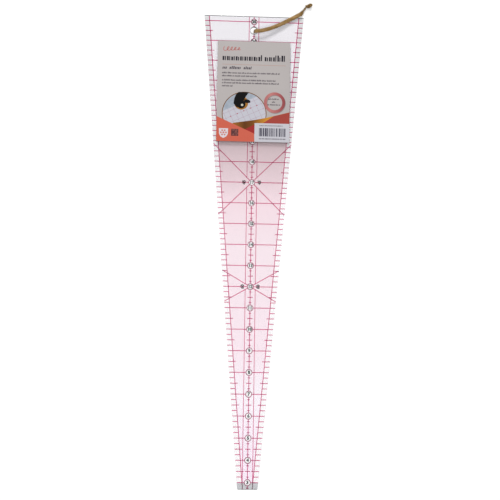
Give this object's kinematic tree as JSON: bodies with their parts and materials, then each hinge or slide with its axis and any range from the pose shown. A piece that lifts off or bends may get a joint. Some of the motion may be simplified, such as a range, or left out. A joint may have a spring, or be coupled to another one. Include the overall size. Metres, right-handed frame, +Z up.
{
  "type": "quilting ruler",
  "caption": "Clear acrylic ten-degree wedge ruler for patchwork, marked in inches, with a hanging hole, a taped-on label card and a knotted ribbon tie.",
  "frame": {"origin": "middle of the blade's underside, the face that lies on the table", "axes": "+Y along the blade towards its wide end, +X across it to the right as its numbers are read, +Z up through its thickness"},
  "size_m": [0.1342, 0.5916, 0.0075],
  "materials": {
    "clear_acrylic": "clear cast acrylic sheet, polished faces, printed in magenta",
    "printed_board": "printed card, satin",
    "clear_tape": "clear double-sided tape",
    "gold_ribbon": "flat gold and bronze ribbon, slightly shiny"
  },
  "bodies": {
    "ruler": {"acrylic_blade": "clear_acrylic", "label_card": "printed_board", "card_tape_upper": "clear_tape", "card_tape_lower": "clear_tape"},
    "hanging_tie": {"tie_ribbon": "gold_ribbon", "tie_knot": "gold_ribbon"}
  },
  "joints": [
    {"name": "tie_swing", "type": "hinge", "parent": "ruler", "child": "hanging_tie", "pos_m": [0, 0.26835, 0.003], "axis": [0, 0, 1], "range_deg": [0, 130]}
  ]
}
